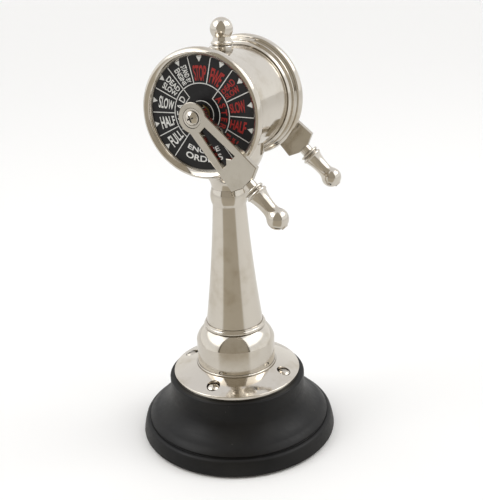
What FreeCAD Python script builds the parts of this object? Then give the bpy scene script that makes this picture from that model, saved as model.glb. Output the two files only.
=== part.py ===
import FreeCAD, Part
import math
import os

import Sketcher

# Desk model of a ship's engine order telegraph. +Z is up, -Y faces the reader of the front dial, and the
# origin is the centre of the underside. A round head stands on a turned pedestal: a drum with a dial at each
# end and one shaft through both dials that carries a lever with a grip on each side. Inside the drum a
# star wheel on the shaft flicks a sprung hammer against a gong. A tie rod pulls the whole stack together.

SIZES = {
    # wooden base and felt
    "felt_radius": 66.0,
    "felt_thickness": 1.2,
    "wood_radius": 71.3,
    "rim_radius": 69.3,
    "rim_top": 10.8,
    "groove_radius": 65.3,
    "shoulder_radius": 66.1,
    "flare_radius": 61.7,
    "flare_rise": 17.8,
    "cove_radius": 50.2,
    "cove_bottom": 25.5,
    "cove_top": 31.5,
    "collar_radius": 49.4,
    "wood_top": 45.2,
    "recess_radius": 13.0,
    "recess_top": 16.0,
    # base plate and its screws
    "plate_radius": 46.0,
    "plate_edge": 3.4,
    "plate_wall": 3.0,
    "foot_seat_radius": 29.3,
    "foot_bottom": 54.0,
    "plate_screw_circle": 37.5,
    "plate_screw_seat": 49.7,
    "plate_screw_head": 4.2,
    "plate_screw_shank": 1.8,
    "plate_screw_length": 22.0,
    # pedestal
    "foot_radius": 28.2,
    "foot_shoulder": 73.0,
    "foot_top": 82.6,
    "ring_radius": 21.9,
    "column_bottom": 86.8,
    "column_foot_radius": 20.2,
    "column_top": 174.2,
    "column_head_radius": 11.5,
    "column_wall": 2.4,
    "neck_bottom": 186.2,
    "collar_ring_radius": 12.6,
    "collar_chamfer": 2.0,
    "neck_waist": 11.6,
    "neck_flange": 24.9,
    "neck_depth": 22.7,
    # tie rod
    "rod_radius": 3.0,
    "rod_clearance": 0.2,
    "rod_bottom": 5.5,
    "rod_top": 202.0,
    # head
    "head_height": 242.44,
    "drum_radius": 35.1,
    "drum_wall": 1.6,
    "drum_half": 26.0,
    "bezel_back": 23.0,
    "bezel_radius": 41.5,
    "bezel_widest": 32.3,
    "bezel_front": 36.5,
    "dial_radius": 36.5,
    "dial_window": 35.7,
    "plate_inner_face": 28.6,
    "plate_outer_face": 31.1,
    "dial_face": 32.0,
    # shaft, bushes and washers
    "shaft_radius": 3.0,
    "running_gap": 0.05,
    "shaft_half": 43.6,
    "bush_radius": 5.0,
    "bush_flange": 7.0,
    # levers
    "lever_angle": -45.5,
    "lever_rake": 3.0,
    "lever_face": 45.2,
    "lever_thickness": 4.0,
    "hub_radius": 9.7,
    "lever_end": 53.2,
    "lever_shoulder": 50.0,
    "lever_half_width": 11.9,
    "window_start": 9.7,
    "window_end": 35.3,
    "pointer_tip": 32.7,
    "lever_chamfer": 0.45,
    "lever_screw_shank": 2.0,
    "lever_screw_head": 4.5,
    # grips
    "grip_stud": 1.5,
    "grip_neck": 4.05,
    "grip_shoulder": 57.3,
    "grip_collar": 6.6,
    "grip_waist": 4.65,
    "grip_bulb": 6.8,
    "grip_end": 88.1,
    # finial and gong
    "ball_radius": 7.4,
    "ball_centre": 290.54,
    "finial_neck": 5.6,
    "finial_flange": 7.1,
    "stud_radius": 2.0,
    "gong_radius": 14.5,
    "gong_top": 270.2,
    "gong_mouth": 259.5,
    "gong_wall": 1.4,
    # striking work and stop
    "star_tip": 11.0,
    "star_root": 8.4,
    "star_teeth": 14,
    "star_half": 2.0,
    "star_hub": 6.0,
    "hammer_pivot_x": -21.0,
    "hammer_pivot_rise": 4.0,
    "hammer_pin": 1.2,
    "hammer_head": 2.6,
    "hammer_gap": 0.5,
    "hammer_tail": 9.7,
    "stop_circle": 11.0,
    "stop_pin_radius": 2.5,
}

doc = FreeCAD.newDocument("engine_telegraph")
sheet = doc.addObject("Spreadsheet::Sheet", "dim")
for row, (alias, value) in enumerate(SIZES.items(), start=1):
    sheet.set(f"A{row}", alias)
    sheet.set(f"B{row}", str(value))
    sheet.setAlias(f"B{row}", alias)
doc.recompute()

ACROSS = FreeCAD.Vector(1, 0, 0)
ALONG = FreeCAD.Vector(0, 1, 0)
UP = FreeCAD.Vector(0, 0, 1)
CENTRE = FreeCAD.Vector(0, 0, 0)
FRONT = "front"
REAR = "rear"
ZERO = "0"

nodes = {}


def number(expression):
    """The value of an expression on the sheet."""
    return float(sheet.evalExpression(expression))


def kept(label, piece):
    """Names a finished sub-part and lists it for export."""
    piece.Label = label
    nodes[label] = piece
    return piece


# ---------------------------------------------------------------- sketches and bodies


def new_body(name):
    """An empty body."""
    return doc.addObject("PartDesign::Body", name)


def new_sketch(body, name, role="XZ_Plane", offset=None):
    """A sketch on one of the body's own origin planes; offset moves it along the plane's normal."""
    sketch = body.newObject("Sketcher::SketchObject", name)
    plane = next(item for item in body.Origin.OriginFeatures if item.Role == role)
    sketch.AttachmentSupport = [(plane, "")]
    sketch.MapMode = "FlatFace"
    if offset is not None:
        sketch.setExpression("AttachmentOffset.Base.z", offset)
    return sketch


def arc_middle(start, end, radius, side):
    """The middle of the shorter arc from start to end, which bulges left of the way there if side is 1."""
    chord = end - start
    rise = radius - math.sqrt(max(radius**2 - (chord.Length / 2) ** 2, 0))
    normal = FreeCAD.Vector(-chord.y, chord.x, 0).normalize()
    return (start + end) * 0.5 + normal * rise * side


def dome(radius, rise):
    """The radius of the arc that makes a dome of that rise over a round edge."""
    return f"({radius} * {radius} + {rise} * {rise}) / (2 * {rise})"


def hold(sketch, kind, index, end, axis, expression):
    """Fixes one coordinate of a point of the sketch to an expression."""
    if expression == ZERO:
        sketch.addConstraint(Sketcher.Constraint("PointOnObject", index, end, axis))
        return
    place = sketch.addConstraint(
        Sketcher.Constraint(kind, -1, 1, index, end, number(expression))
    )
    sketch.setExpression(f"Constraints[{place}]", expression)


def draw(sketch, outline):
    """Draws a closed outline. Each corner is (across, up), as expressions. A corner that goes on with a
    radius and a side starts an arc: side 1 bulges left of the way to the next corner, and -1 right."""
    first_side = sketch.GeometryCount
    corners = [FreeCAD.Vector(number(c[0]), number(c[1]), 0) for c in outline]
    ends = []
    for step, corner in enumerate(outline):
        start = corners[step]
        end = corners[(step + 1) % len(corners)]
        if len(corner) == 2:
            side = Part.LineSegment(start, end)
        else:
            side = Part.Arc(start, arc_middle(start, end, number(corner[2]), corner[3]), end)
        index = sketch.addGeometry(side, False)
        starts_here = (sketch.getPoint(index, 1) - start).Length < 1e-6
        ends.append((1, 2) if starts_here else (2, 1))
    for step, corner in enumerate(outline):
        index = first_side + step
        following = (step + 1) % len(outline)
        joint = (index, ends[step][1], first_side + following, ends[following][0])
        sketch.addConstraint(Sketcher.Constraint("Coincident", *joint))
        hold(sketch, "DistanceX", index, ends[step][0], -2, corner[0])
        hold(sketch, "DistanceY", index, ends[step][0], -1, corner[1])
        if len(corner) > 2:
            bend = Sketcher.Constraint("Radius", index, number(corner[2]))
            sketch.setExpression(f"Constraints[{sketch.addConstraint(bend)}]", corner[2])


def draw_circle(sketch, radius, across=ZERO, up=ZERO):
    """Draws a circle of that radius about a point, all as expressions."""
    middle = FreeCAD.Vector(number(across), number(up), 0)
    index = sketch.addGeometry(Part.Circle(middle, UP, number(radius)), False)
    hold(sketch, "DistanceX", index, 3, -2, across)
    hold(sketch, "DistanceY", index, 3, -1, up)
    bend = Sketcher.Constraint("Radius", index, number(radius))
    sketch.setExpression(f"Constraints[{sketch.addConstraint(bend)}]", radius)


def turned(name, outline):
    """A body turned about its Z axis from a half outline of (radius, height) corners."""
    body = new_body(name)
    sketch = new_sketch(body, name + "_outline")
    draw(sketch, outline)
    turning = body.newObject("PartDesign::Revolution", name + "_turning")
    turning.Profile = sketch
    turning.ReferenceAxis = (sketch, ["V_Axis"])
    turning.Angle = 360
    return body


def ring(name, inner, outer, low, high):
    """A plain ring or sleeve."""
    return turned(name, [(inner, low), (outer, low), (outer, high), (inner, high)])


def slab(name, outline, low, thickness, role="XY_Plane"):
    """A plate of the outline's shape, from low up by its thickness."""
    body = new_body(name)
    sketch = new_sketch(body, name + "_outline", role, low)
    draw(sketch, outline)
    pad = body.newObject("PartDesign::Pad", name + "_pad")
    pad.Profile = sketch
    pad.setExpression("Length", thickness)
    return body


def pocket(body, name, sketch, depth=None):
    """Cuts a sketch into the body: right through both ways, or down by a depth."""
    cut = body.newObject("PartDesign::Pocket", name)
    cut.Profile = sketch
    if depth is None:
        cut.Type = 1
        cut.Midplane = True
    else:
        cut.setExpression("Length", depth)
    return cut


def repeated(body, name, feature, count):
    """Repeats a feature evenly round the body's Z axis."""
    pattern = body.newObject("PartDesign::PolarPattern", name)
    pattern.Originals = [feature]
    axis = next(item for item in body.Origin.OriginFeatures if item.Role == "Z_Axis")
    pattern.Axis = (axis, [""])
    pattern.Angle = 360
    pattern.setExpression("Occurrences", count)
    body.Tip = pattern
    return pattern


def rectangle(left, right, low, high):
    """The four corners of a rectangle."""
    return [(left, low), (right, low), (right, high), (left, high)]


def saddle(body, name):
    """Cuts a body of the pedestal or finial to sit on the drum."""
    sketch = new_sketch(body, name)
    draw_circle(sketch, "dim.drum_radius", up="dim.head_height")
    pocket(body, name + "_cut", sketch)


def head_frame(side, turn=0.0):
    """The head's own frame: +Z points out of the drum on that side, and turn is about it."""
    facing = FreeCAD.Rotation(UP, 0 if side == FRONT else 180)
    tipped = FreeCAD.Rotation(ACROSS, 90)
    middle = FreeCAD.Vector(0, 0, number("dim.head_height"))
    frame = FreeCAD.Placement(middle, facing.multiply(tipped))
    return frame.multiply(FreeCAD.Placement(CENTRE, FreeCAD.Rotation(UP, turn)))


def lever_turn(side):
    """How far a lever is turned in its own side's frame, so that both levers are parallel."""
    angle = number("dim.lever_angle")
    return angle if side == FRONT else 180 - angle


# ---------------------------------------------------------------- base


def make_felt_pad():
    """The felt disc that the model stands on."""
    outline = rectangle(ZERO, "dim.felt_radius", ZERO, "dim.felt_thickness")
    kept("felt_pad", turned("felt_pad", outline))


def make_wooden_base():
    """The turned base: a rim, a fine groove, a round shoulder, a cove and a collar round the plate.
    Underneath is a recess for the nut of the tie rod, and on top are pilot holes for the screws."""
    hole = "dim.rod_radius + dim.rod_clearance"
    body = turned(
        "wooden_base",
        [
            (hole, "dim.recess_top"),
            ("dim.recess_radius", "dim.recess_top"),
            ("dim.recess_radius", "dim.felt_thickness"),
            ("dim.wood_radius - 0.8", "dim.felt_thickness", "0.9", -1),
            ("dim.wood_radius", "dim.felt_thickness + 0.9", "45", -1),
            ("dim.rim_radius", "dim.rim_top", "2.8", -1),
            ("dim.groove_radius + 0.4", "dim.rim_top + 1.6"),
            ("dim.groove_radius", "dim.rim_top + 2.2"),
            ("dim.shoulder_radius", "dim.rim_top + 3", "16", -1),
            ("dim.flare_radius", "dim.flare_rise", "26", 1),
            ("dim.cove_radius", "dim.cove_bottom", "7", 1),
            ("dim.collar_radius", "dim.cove_top"),
            ("dim.collar_radius", "dim.wood_top - 1.4", "1.4", -1),
            ("dim.collar_radius - 1.3", "dim.wood_top"),
            (hole, "dim.wood_top"),
        ],
    )
    sketch = new_sketch(body, "pilot_hole", "XY_Plane", "dim.wood_top")
    draw_circle(sketch, "dim.plate_screw_shank", across="dim.plate_screw_circle")
    depth = "dim.wood_top - dim.plate_screw_seat + dim.plate_screw_length"
    cut = pocket(body, "pilot_hole_cut", sketch, depth)
    repeated(body, "pilot_holes", cut, "4")
    kept("wooden_base", body)


def make_base_plate():
    """The polished plate on the wood: an upright edge, a gently rising top and flat seats for the screws."""
    top = "dim.wood_top + dim.plate_edge"
    body = turned(
        "base_plate",
        [
            ("dim.rod_radius + dim.rod_clearance", "dim.foot_bottom - dim.plate_wall"),
            ("dim.foot_seat_radius - 2", "dim.foot_bottom - dim.plate_wall"),
            ("dim.plate_radius - 4", "dim.wood_top + 0.6"),
            ("dim.plate_radius - 4", "dim.wood_top"),
            ("dim.plate_radius", "dim.wood_top"),
            ("dim.plate_radius", top + " - 0.5", "0.6", -1),
            ("dim.plate_radius - 0.6", top, "90", -1),
            ("dim.foot_seat_radius", "dim.foot_bottom"),
            ("dim.rod_radius + dim.rod_clearance", "dim.foot_bottom"),
        ],
    )
    seat = new_sketch(body, "screw_seat", "XY_Plane", "dim.foot_bottom")
    draw_circle(seat, "dim.plate_screw_head + 0.6", across="dim.plate_screw_circle")
    seat_cut = pocket(body, "screw_seat_cut", seat, "dim.foot_bottom - dim.plate_screw_seat")
    repeated(body, "screw_seats", seat_cut, "4")
    hole = new_sketch(body, "screw_hole", "XY_Plane", "dim.foot_bottom")
    draw_circle(hole, "dim.plate_screw_shank + 0.2", across="dim.plate_screw_circle")
    hole_cut = pocket(body, "screw_hole_cut", hole)
    repeated(body, "screw_holes", hole_cut, "4")
    kept("base_plate", body)


def make_plate_screws():
    """Four wood screws with slotted domed heads, made once and set round the plate."""
    body = turned(
        "plate_screw",
        [
            (ZERO, "-dim.plate_screw_length + 2"),
            ("dim.plate_screw_shank - 1.2", "-dim.plate_screw_length + 2"),
            ("dim.plate_screw_shank", "-dim.plate_screw_length + 5"),
            ("dim.plate_screw_shank", ZERO),
            ("dim.plate_screw_head", ZERO),
            ("dim.plate_screw_head", "0.7", dome("dim.plate_screw_head", "1.8"), -1),
            (ZERO, "2.5"),
        ],
    )
    sketch = new_sketch(body, "plate_screw_slot", "XY_Plane", "2.6")
    draw(sketch, rectangle("-dim.plate_screw_head", "dim.plate_screw_head", "-0.5", "0.5"))
    pocket(body, "plate_screw_slot_cut", sketch, "1.3")
    doc.recompute()
    screws = []
    for turn in (0, 90, 180, 270):
        spin = FreeCAD.Rotation(UP, turn)
        seat = FreeCAD.Vector(number("dim.plate_screw_circle"), 0, number("dim.plate_screw_seat"))
        screw = body.Shape.copy()
        screw.Placement = FreeCAD.Placement(spin.multVec(seat), FreeCAD.Rotation(UP, turn + 35))
        screws.append(screw)
    group = doc.addObject("Part::Feature", "base_plate_screws")
    group.Shape = Part.makeCompound(screws)
    kept("base_plate_screws", group)


# ---------------------------------------------------------------- pedestal


def make_pedestal():
    """The pedestal's turned pieces, from the foot up to the neck that holds the drum."""
    hole = "dim.rod_radius + dim.rod_clearance"
    foot = turned(
        "pedestal_foot",
        [
            ("dim.foot_radius - 3", "dim.foot_bottom"),
            ("dim.foot_radius + 0.7", "dim.foot_bottom"),
            ("dim.foot_radius + 0.7", "dim.foot_bottom + 0.9", "0.5", -1),
            ("dim.foot_radius", "dim.foot_bottom + 1.4"),
            ("dim.foot_radius", "dim.foot_shoulder", "19.6", -1),
            ("dim.ring_radius - 0.6", "dim.foot_top"),
            (hole, "dim.foot_top"),
            (hole, "dim.foot_top - 3"),
            ("dim.ring_radius - 4", "dim.foot_top - 3"),
            ("dim.foot_radius - 3", "dim.foot_shoulder - 1"),
        ],
    )
    kept("pedestal_foot", foot)
    bead = turned(
        "column_base_ring",
        [
            (hole, "dim.foot_top"),
            ("dim.ring_radius - 0.9", "dim.foot_top"),
            ("dim.ring_radius - 0.2", "dim.foot_top + 0.6", "1.7", -1),
            ("dim.ring_radius - 0.3", "dim.foot_top + 3"),
            ("dim.column_foot_radius + 0.8", "dim.column_bottom"),
            (hole, "dim.column_bottom"),
        ],
    )
    kept("column_base_ring", bead)
    column = turned(
        "pedestal_column",
        [
            ("dim.column_foot_radius", "dim.column_bottom", "1180", 1),
            ("dim.column_head_radius", "dim.column_top"),
            (hole, "dim.column_top"),
            (hole, "dim.column_top - 4"),
            ("dim.column_head_radius - dim.column_wall", "dim.column_top - 4", "1180", -1),
            ("dim.column_foot_radius - dim.column_wall", "dim.column_bottom"),
        ],
    )
    kept("pedestal_column", column)
    collar = turned(
        "column_collar",
        [
            (hole, "dim.column_top"),
            ("dim.column_head_radius + 0.1", "dim.column_top"),
            ("dim.collar_ring_radius - 0.3", "dim.column_top + dim.collar_chamfer", "14", -1),
            ("dim.collar_ring_radius - 0.3", "dim.neck_bottom - dim.collar_chamfer"),
            ("dim.neck_waist + 0.1", "dim.neck_bottom"),
            (hole, "dim.neck_bottom"),
        ],
    )
    kept("column_collar", collar)


def make_head_neck():
    """The flared neck: turned, cut to sit on the drum, and trimmed flat between the bezels. The tie rod
    screws into it from below, and two screws hold the drum down on it."""
    rod_end = "dim.rod_top + 0.8"
    neck = turned(
        "head_neck",
        [
            ("dim.rod_radius", "dim.neck_bottom"),
            ("dim.neck_waist", "dim.neck_bottom", "14", 1),
            ("dim.neck_waist + 3.6", "dim.neck_bottom + 8.6", "30", -1),
            ("dim.neck_flange - 0.3", "dim.neck_bottom + 23.2"),
            ("dim.neck_flange", "dim.neck_bottom + 23.6"),
            ("dim.neck_flange", "dim.head_height - 20"),
            (ZERO, "dim.head_height - 20"),
            (ZERO, rod_end),
            ("dim.rod_radius", rod_end),
        ],
    )
    saddle(neck, "neck_saddle")
    trims = {FRONT: ("-40", "-dim.neck_depth"), REAR: ("dim.neck_depth", "40")}
    for side, (low, high) in trims.items():
        sketch = new_sketch(neck, f"neck_{side}_trim", "XY_Plane", "dim.head_height")
        draw(sketch, rectangle("-40", "40", low, high))
        pocket(neck, f"neck_{side}_trim_cut", sketch, "60")
    holes = new_sketch(neck, "neck_screw_holes", "XY_Plane", "dim.head_height")
    for place in ("12", "-12"):
        draw_circle(holes, "1.75", up=place)
    pocket(neck, "neck_screw_holes_cut", holes, "dim.head_height - 195")
    kept("head_neck", neck)


def make_neck_screws():
    """Two screws that hold the drum down on the neck, from inside the drum."""
    low = number("dim.head_height - dim.drum_radius + dim.drum_wall") + 0.16
    screw = turned(
        "neck_screw",
        [
            (ZERO, "-13"),
            ("1.75", "-13"),
            ("1.75", ZERO),
            ("3.1", ZERO),
            ("3.1", "1.4", dome("3.1", "1"), -1),
            (ZERO, "2.4"),
        ],
    )
    doc.recompute()
    pair = []
    for along in (12, -12):
        copy = screw.Shape.copy()
        copy.Placement = FreeCAD.Placement(FreeCAD.Vector(0, along, low), FreeCAD.Rotation())
        pair.append(copy)
    group = doc.addObject("Part::Feature", "neck_screws")
    group.Shape = Part.makeCompound(pair)
    kept("neck_screws", group)


def make_tie_rod():
    """The rod that pulls the stack together, with its nut and washer in the recess of the base."""
    rod = turned("tie_rod", rectangle(ZERO, "dim.rod_radius", "dim.rod_bottom", "dim.rod_top"))
    kept("tie_rod", rod)
    washer_low = "dim.recess_top - 1.6"
    washer = ring(
        "tie_rod_washer", "dim.rod_radius + dim.rod_clearance", "9", washer_low, "dim.recess_top"
    )
    kept("tie_rod_washer", washer)
    kept("tie_rod_nut", hexagon_nut("tie_rod_nut", "10", "dim.rod_radius", washer_low + " - 5", "5"))


def hexagon_nut(name, flats, bore, low, thickness):
    """A hexagon nut of that width across flats."""
    corners = []
    for corner in range(6):
        angle = 60 * corner + 30
        reach = f"{flats} / 2 / cos(30 deg)"
        corners.append((f"{reach} * cos({angle} deg)", f"{reach} * sin({angle} deg)"))
    corners = [(ZERO if abs(number(x)) < 1e-9 else x, y) for x, y in corners]
    nut = slab(name, corners, low, thickness)
    sketch = new_sketch(nut, name + "_bore", "XY_Plane", low)
    draw_circle(sketch, bore)
    pocket(nut, name + "_bore_cut", sketch)
    return nut


# ---------------------------------------------------------------- drum, bezels and dials


def make_drum():
    """The drum's shell, open at both ends, with holes for the finial's stud and the neck's screws."""
    shell = ring(
        "drum_shell",
        "dim.drum_radius - dim.drum_wall",
        "dim.drum_radius",
        "-dim.drum_half",
        "dim.drum_half",
    )
    stud = new_sketch(shell, "stud_hole", "XZ_Plane")
    draw_circle(stud, "dim.stud_radius")
    pocket(shell, "stud_hole_cut", stud, "60")
    screws = new_sketch(shell, "neck_screw_clearance", "XZ_Plane")
    for place in ("12", "-12"):
        draw_circle(screws, "1.9", up=place)
    screw_cut = pocket(shell, "neck_screw_clearance_cut", screws, "60")
    screw_cut.Reversed = True
    shell.Placement = head_frame(FRONT)
    kept("drum_shell", shell)


def make_bezel(side):
    """A bezel: it holds the drum's end, the end plate and the dial. Towards the drum it has a cove, a
    bead, a band and a groove, and its broad front slopes gently in to the dial."""
    bezel = turned(
        f"{side}_bezel",
        [
            ("dim.drum_radius", "dim.bezel_back"),
            ("dim.drum_radius + 0.6", "dim.bezel_back"),
            ("dim.drum_radius + 0.9", "dim.bezel_back + 0.5", "2.6", 1),
            ("dim.drum_radius + 2.3", "dim.bezel_back + 2.4"),
            ("dim.drum_radius + 2.9", "dim.bezel_back + 2.5", "0.85", -1),
            ("dim.drum_radius + 3.2", "dim.bezel_back + 4"),
            ("dim.drum_radius + 3.0", "dim.bezel_back + 4.2"),
            ("dim.drum_radius + 4.3", "dim.bezel_back + 5.4"),
            ("dim.drum_radius + 4.1", "dim.bezel_back + 5.9"),
            ("dim.drum_radius + 4.7", "dim.bezel_back + 6.1", "3.4", -1),
            ("dim.bezel_radius", "dim.bezel_widest", "4.0", -1),
            ("dim.bezel_radius - 2.4", "dim.bezel_front", "9", -1),
            ("dim.dial_window", "dim.dial_face + 0.4"),
            ("dim.dial_window", "dim.dial_face"),
            ("dim.dial_radius", "dim.dial_face"),
            ("dim.dial_radius", "dim.plate_inner_face"),
            ("dim.drum_radius - dim.drum_wall", "dim.plate_inner_face"),
            ("dim.drum_radius - dim.drum_wall", "dim.drum_half"),
            ("dim.drum_radius", "dim.drum_half"),
        ],
    )
    bezel.Placement = head_frame(side)
    kept(f"{side}_bezel", bezel)


def make_head_end(side):
    """One end of the head: its plate, its dial and the bush that the shaft turns in."""
    frame = head_frame(side)
    plate = ring(
        f"{side}_end_plate",
        "dim.bush_radius",
        "dim.dial_radius",
        "dim.plate_inner_face",
        "dim.plate_outer_face",
    )
    plate.Placement = frame
    kept(f"{side}_end_plate", plate)
    dial = ring(
        f"{side}_dial",
        "dim.bush_radius",
        "dim.dial_radius",
        "dim.plate_outer_face",
        "dim.dial_face",
    )
    dial.Placement = frame
    kept(f"{side}_dial", dial)
    bore = "dim.shaft_radius + dim.running_gap"
    bush = turned(
        f"{side}_bush",
        [
            (bore, "dim.plate_inner_face - 2.5"),
            ("dim.bush_flange", "dim.plate_inner_face - 2.5"),
            ("dim.bush_flange", "dim.plate_inner_face"),
            ("dim.bush_radius", "dim.plate_inner_face"),
            ("dim.bush_radius", "dim.dial_face + 0.2"),
            (bore, "dim.dial_face + 0.2"),
        ],
    )
    bush.Placement = frame
    kept(f"{side}_bush", bush)


# ---------------------------------------------------------------- shaft and levers


def make_shaft():
    """The shaft through both dials, with a tapped hole in each end."""
    rear_end = "12 - dim.shaft_half"
    front_end = "dim.shaft_half - 12"
    shaft = turned(
        "lever_shaft",
        [
            (ZERO, rear_end),
            ("dim.lever_screw_shank", rear_end),
            ("dim.lever_screw_shank", "-dim.shaft_half"),
            ("dim.shaft_radius", "-dim.shaft_half"),
            ("dim.shaft_radius", "dim.shaft_half"),
            ("dim.lever_screw_shank", "dim.shaft_half"),
            ("dim.lever_screw_shank", front_end),
            (ZERO, front_end),
        ],
    )
    shaft.Placement = head_frame(FRONT)
    kept("lever_shaft", shaft)


def make_spacer(side):
    """The sleeve that keeps the lever off the dial."""
    low = "dim.dial_face + 1" if side == FRONT else "dim.dial_face + 0.3"
    high = "dim.lever_face - dim.lever_thickness + 0.15"
    spacer = ring(f"{side}_spacer", "dim.shaft_radius", "dim.bush_radius + 0.6", low, high)
    spacer.Placement = head_frame(side)
    kept(f"{side}_spacer", spacer)


def make_friction_washer():
    """The dished washer that gives the levers their drag."""
    washer = turned(
        "friction_washer",
        [
            ("dim.shaft_radius + 0.2", "dim.dial_face + 0.75"),
            ("dim.bush_radius + 1", "dim.dial_face + 0.3"),
            ("dim.bush_radius + 1", "dim.dial_face + 0.55"),
            ("dim.shaft_radius + 0.2", "dim.dial_face + 1"),
        ],
    )
    washer.Placement = head_frame(FRONT)
    kept("friction_washer", washer)


def make_lever(side):
    """A lever: a plate that widens from its hub to a shallow pointed end, with a tapering window whose
    outer edge carries a pointer. It leans out a little, and its bore and seats are square to the shaft."""
    flat = "4.4"
    waist = "8.1"
    waist_at = "sqrt(dim.hub_radius ^ 2 - 8.1 ^ 2)"
    plate = slab(
        f"{side}_lever_plate",
        [
            (waist_at, "-" + waist),
            ("dim.lever_shoulder", "-dim.lever_half_width"),
            ("dim.lever_end", "-" + flat),
            ("dim.lever_end", flat),
            ("dim.lever_shoulder", "dim.lever_half_width"),
            (waist_at, waist, "dim.hub_radius", -1),
            ("-dim.hub_radius", ZERO, "dim.hub_radius", -1),
        ],
        "-dim.lever_thickness / 2",
        "dim.lever_thickness",
    )
    window = new_sketch(plate, f"{side}_window", "XY_Plane")
    draw(
        window,
        [
            ("dim.window_start", "-2.4"),
            ("dim.window_end", "-5.65"),
            ("dim.window_end", "-2.5"),
            ("dim.pointer_tip", ZERO),
            ("dim.window_end", "2.5"),
            ("dim.window_end", "5.65"),
            ("dim.window_start", "2.4"),
        ],
    )
    pocket(plate, f"{side}_window_cut", window)
    stud = new_sketch(plate, f"{side}_grip_hole", "YZ_Plane", "dim.lever_end")
    draw_circle(stud, "dim.grip_stud")
    stud_cut = pocket(plate, f"{side}_grip_hole_cut", stud, "7")
    doc.recompute()
    soften_outer_edges(plate, f"{side}_lever_chamfer", stud_cut)
    plate.Placement = lever_frame(side)
    seats = turned(
        f"{side}_lever_seats",
        [
            (ZERO, "dim.lever_face - 12"),
            ("dim.bush_radius + 0.6", "dim.lever_face - 12"),
            ("dim.bush_radius + 0.6", "dim.lever_face - dim.lever_thickness + 0.15"),
            ("dim.shaft_radius", "dim.lever_face - dim.lever_thickness + 0.15"),
            ("dim.shaft_radius", "dim.lever_face - 1"),
            ("6.4", "dim.lever_face - 1"),
            ("6.4", "dim.lever_face + 3"),
            (ZERO, "dim.lever_face + 3"),
        ],
    )
    seats.Placement = head_frame(side)
    lever = doc.addObject("Part::Cut", f"{side}_lever")
    lever.Base = plate
    lever.Tool = seats
    kept(f"{side}_lever", lever)


def soften_outer_edges(body, name, feature):
    """Chamfers the long edges of the plate's outer face a little."""
    top = number("dim.lever_thickness / 2")
    chosen = []
    for index, edge in enumerate(feature.Shape.Edges, start=1):
        box = edge.BoundBox
        if abs(box.ZMin - top) < 1e-6 and abs(box.ZMax - top) < 1e-6:
            chosen.append(f"Edge{index}")
    chamfer = body.newObject("PartDesign::Chamfer", name)
    chamfer.Base = (feature, chosen)
    chamfer.setExpression("Size", "dim.lever_chamfer")


def lever_frame(side):
    """The frame of a lever: +X runs along it, it is raked outward, and Z is zero at mid thickness."""
    middle = FreeCAD.Vector(0, 0, number("dim.lever_face - dim.lever_thickness / 2"))
    rake = FreeCAD.Rotation(ALONG, -number("dim.lever_rake"))
    return head_frame(side, lever_turn(side)).multiply(FreeCAD.Placement(middle, rake))


def make_grip(side):
    """The turned grip: a stud, a neck, two collars, a waist and a round bulb with a small flat end."""
    grip = turned(
        f"{side}_grip",
        [
            (ZERO, "dim.lever_end - 6.8"),
            ("dim.grip_stud", "dim.lever_end - 6.8"),
            ("dim.grip_stud", "dim.lever_end"),
            ("dim.grip_neck", "dim.lever_end"),
            ("dim.grip_neck", "dim.grip_shoulder"),
            ("dim.grip_collar - 0.5", "dim.grip_shoulder + 0.2", "0.9", -1),
            ("dim.grip_collar - 0.5", "dim.grip_shoulder + 1.8", "0.8", 1),
            ("dim.grip_collar - 0.9", "dim.grip_shoulder + 2.5"),
            ("dim.grip_collar - 0.1", "dim.grip_shoulder + 2.9", "1.2", -1),
            ("dim.grip_collar - 0.4", "dim.grip_shoulder + 5", "36", 1),
            ("dim.grip_waist", "dim.grip_end - 15.6", "9", 1),
            ("dim.grip_bulb - 1.2", "dim.grip_end - 11", "dim.grip_bulb", -1),
            ("2.4", "dim.grip_end - 0.7"),
            ("2.0", "dim.grip_end"),
            (ZERO, "dim.grip_end"),
        ],
    )
    along = FreeCAD.Placement(CENTRE, FreeCAD.Rotation(ALONG, 90))
    grip.Placement = lever_frame(side).multiply(along)
    kept(f"{side}_grip", grip)


def make_lever_fastening(side):
    """The washer and the cross-recessed screw that hold a lever on the shaft."""
    seat = "dim.lever_face - 1"
    top = "dim.lever_face - 0.3"
    washer = ring(f"{side}_lever_washer", "dim.lever_screw_shank + 0.2", "6.1", seat, top)
    washer.Placement = head_frame(side)
    kept(f"{side}_lever_washer", washer)
    screw = turned(
        f"{side}_lever_screw",
        [
            (ZERO, "dim.shaft_half - 11"),
            ("dim.lever_screw_shank", "dim.shaft_half - 11"),
            ("dim.lever_screw_shank", top),
            ("dim.lever_screw_head", top),
            ("dim.lever_screw_head", top + " + 0.8", dome("dim.lever_screw_head", "2.2"), -1),
            (ZERO, top + " + 3"),
        ],
    )
    sketch = new_sketch(screw, f"{side}_recess", "XY_Plane", top + " + 3.2")
    long, short = "2.3", "0.45"
    cross = [
        (long, "-" + short),
        (long, short),
        (short, short),
        (short, long),
        ("-" + short, long),
        ("-" + short, short),
        ("-" + long, short),
        ("-" + long, "-" + short),
        ("-" + short, "-" + short),
        ("-" + short, "-" + long),
        (short, "-" + long),
        (short, "-" + short),
    ]
    draw(sketch, cross)
    pocket(screw, f"{side}_recess_cut", sketch, "1.7")
    screw.Placement = head_frame(side, 20)
    kept(f"{side}_lever_screw", screw)


# ---------------------------------------------------------------- finial and gong


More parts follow.
